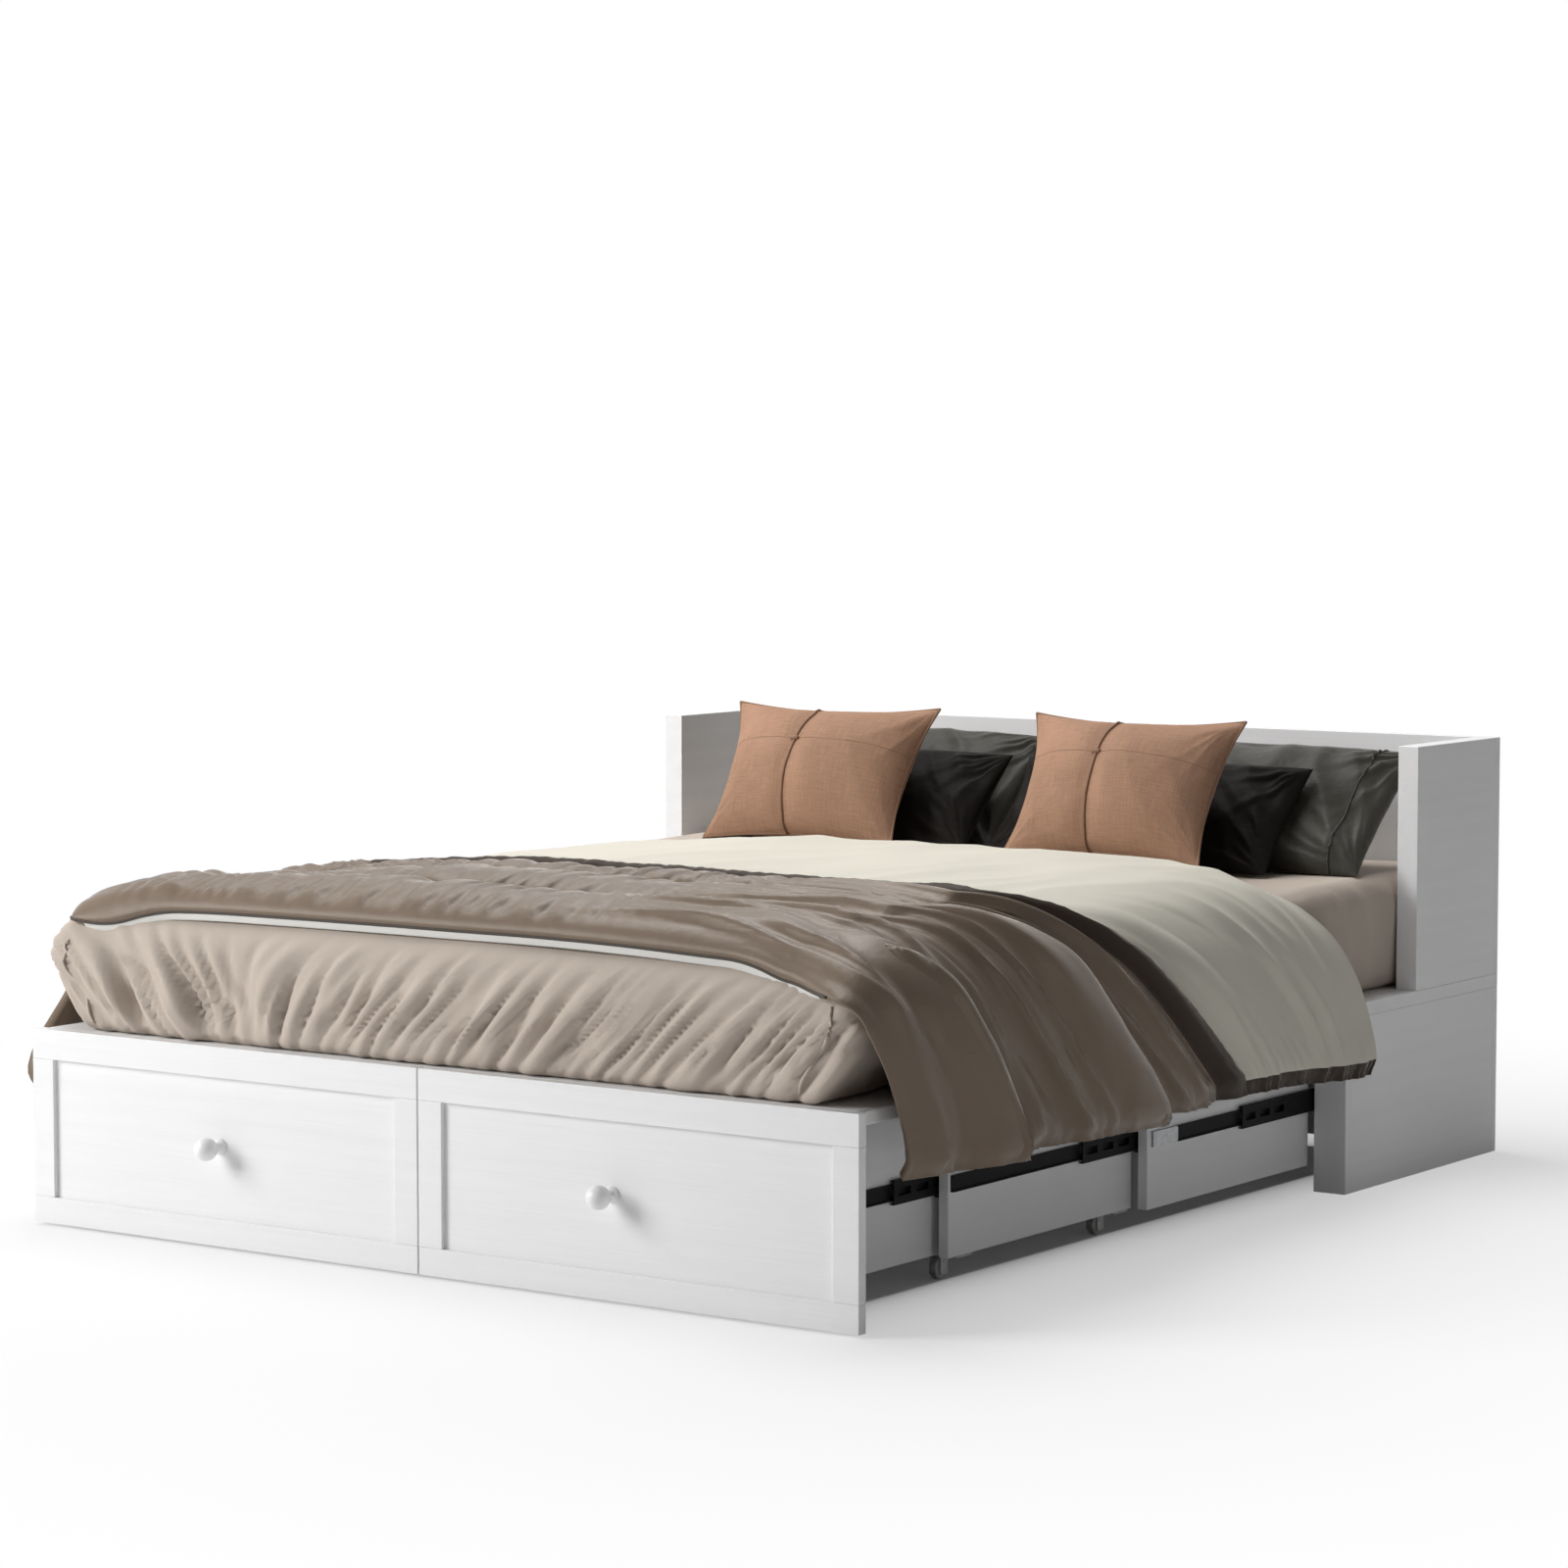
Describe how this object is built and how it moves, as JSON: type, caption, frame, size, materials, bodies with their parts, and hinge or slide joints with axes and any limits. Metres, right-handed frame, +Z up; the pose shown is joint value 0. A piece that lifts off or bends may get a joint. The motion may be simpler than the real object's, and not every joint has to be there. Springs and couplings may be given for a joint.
{
  "type": "platform bed",
  "caption": "White pull-out platform bed with framed drawers at the foot, telescoping side stages on slides, a winged head cabinet, mattress and layered bedding.",
  "frame": {"origin": "centre of the bed's outline on the floor", "axes": "+Z up, +Y from the foot to the head, +X to the right seen from the foot"},
  "size_m": [1.764, 2.146, 0.7825],
  "materials": {
    "white_board": "satin white paint over fine grain",
    "inner_board": "white laminate",
    "white_knob": "satin white paint",
    "black_steel": "black electrophoretic coat",
    "zinc_steel": "zinc plated",
    "caster_shell": "moulded pale grey",
    "caster_tread": "matt",
    "sheet_fabric": "plain cotton",
    "quilt_fabric": "washed cotton sateen",
    "duvet_fabric": "washed cotton",
    "back_pillow_fabric": "charcoal sateen",
    "front_pillow_fabric": "dark charcoal sateen",
    "cushion_fabric": "coarse linen weave"
  },
  "bodies": {
    "platform": {"back_pillow_left": "back_pillow_fabric", "back_pillow_right": "back_pillow_fabric", "base_back": "white_board", "base_posts": "white_board", "base_side_left": "white_board", "base_side_right": "white_board", "base_top": "white_board", "caster_axles": "zinc_steel", "caster_forks": "caster_shell", "cushion_left": "cushion_fabric", "cushion_right": "cushion_fabric", "deck_board_foot": "inner_board", "deck_board_head": "inner_board", "deck_board_middle": "inner_board", "drawer_left_slides_outer": "black_steel", "drawer_right_slides_outer": "black_steel", "duvet": "duvet_fabric", "front_pillow_left": "front_pillow_fabric", "front_pillow_right": "front_pillow_fabric", "front_stage_brace": "inner_board", "front_stage_divider": "inner_board", "front_stage_rail": "inner_board", "front_stage_sides": "white_board", "headboard_panel": "white_board", "headboard_wing_left": "white_board", "headboard_wing_right": "white_board", "mattress": "sheet_fabric", "middle_stage_brace": "inner_board", "middle_stage_sides": "white_board", "platform_slides_inner": "black_steel", "platform_slides_middle": "black_steel", "platform_slides_outer": "black_steel", "quilt": "quilt_fabric", "rear_stage_brace": "inner_board", "rear_stage_sides": "white_board", "slide_catches": "zinc_steel", "slide_liners": "inner_board", "stage_spines": "inner_board"},
    "drawer_left": {"drawer_left_bottom": "inner_board", "drawer_left_box_boards": "inner_board", "drawer_left_front_frame": "white_board", "drawer_left_front_panel": "white_board", "drawer_left_knob": "white_knob", "drawer_left_slides_inner": "black_steel"},
    "drawer_right": {"drawer_right_bottom": "inner_board", "drawer_right_box_boards": "inner_board", "drawer_right_front_frame": "white_board", "drawer_right_front_panel": "white_board", "drawer_right_knob": "white_knob", "drawer_right_slides_inner": "black_steel"},
    "drawer_left_carriers": {"drawer_left_slides_middle": "black_steel"},
    "drawer_right_carriers": {"drawer_right_slides_middle": "black_steel"},
    "front_caster_wheel_left": {"front_caster_wheel_left": "caster_tread"},
    "front_caster_wheel_right": {"front_caster_wheel_right": "caster_tread"},
    "middle_caster_wheel_left": {"middle_caster_wheel_left": "caster_tread"},
    "middle_caster_wheel_right": {"middle_caster_wheel_right": "caster_tread"},
    "rear_caster_wheel_left": {"rear_caster_wheel_left": "caster_tread"},
    "rear_caster_wheel_right": {"rear_caster_wheel_right": "caster_tread"}
  },
  "joints": [
    {"name": "drawer_left_slide", "type": "slide", "parent": "platform", "child": "drawer_left", "axis": [0, -1, 0], "range_m": [0, 0.42]},
    {"name": "drawer_left_carrier_slide", "type": "slide", "parent": "platform", "child": "drawer_left_carriers", "axis": [0, -1, 0], "range_m": [0, 0.21]},
    {"name": "drawer_right_slide", "type": "slide", "parent": "platform", "child": "drawer_right", "axis": [0, -1, 0], "range_m": [0, 0.42]},
    {"name": "drawer_right_carrier_slide", "type": "slide", "parent": "platform", "child": "drawer_right_carriers", "axis": [0, -1, 0], "range_m": [0, 0.21]},
    {"name": "front_left_wheel_spin", "type": "hinge", "parent": "platform", "child": "front_caster_wheel_left", "pos_m": [-0.64, -0.965, 0.018], "axis": [1, 0, 0], "continuous": true},
    {"name": "front_right_wheel_spin", "type": "hinge", "parent": "platform", "child": "front_caster_wheel_right", "pos_m": [0.64, -0.965, 0.018], "axis": [1, 0, 0], "continuous": true},
    {"name": "middle_left_wheel_spin", "type": "hinge", "parent": "platform", "child": "middle_caster_wheel_left", "pos_m": [-0.672, -0.571, 0.018], "axis": [1, 0, 0], "continuous": true},
    {"name": "middle_right_wheel_spin", "type": "hinge", "parent": "platform", "child": "middle_caster_wheel_right", "pos_m": [0.672, -0.571, 0.018], "axis": [1, 0, 0], "continuous": true},
    {"name": "rear_left_wheel_spin", "type": "hinge", "parent": "platform", "child": "rear_caster_wheel_left", "pos_m": [-0.672, -0.097, 0.018], "axis": [1, 0, 0], "continuous": true},
    {"name": "rear_right_wheel_spin", "type": "hinge", "parent": "platform", "child": "rear_caster_wheel_right", "pos_m": [0.672, -0.097, 0.018], "axis": [1, 0, 0], "continuous": true}
  ],
  "couplings": [
    {"joint": "drawer_left_carrier_slide", "follows": "drawer_left_slide", "ratio": 0.5},
    {"joint": "drawer_right_carrier_slide", "follows": "drawer_right_slide", "ratio": 0.5}
  ]
}
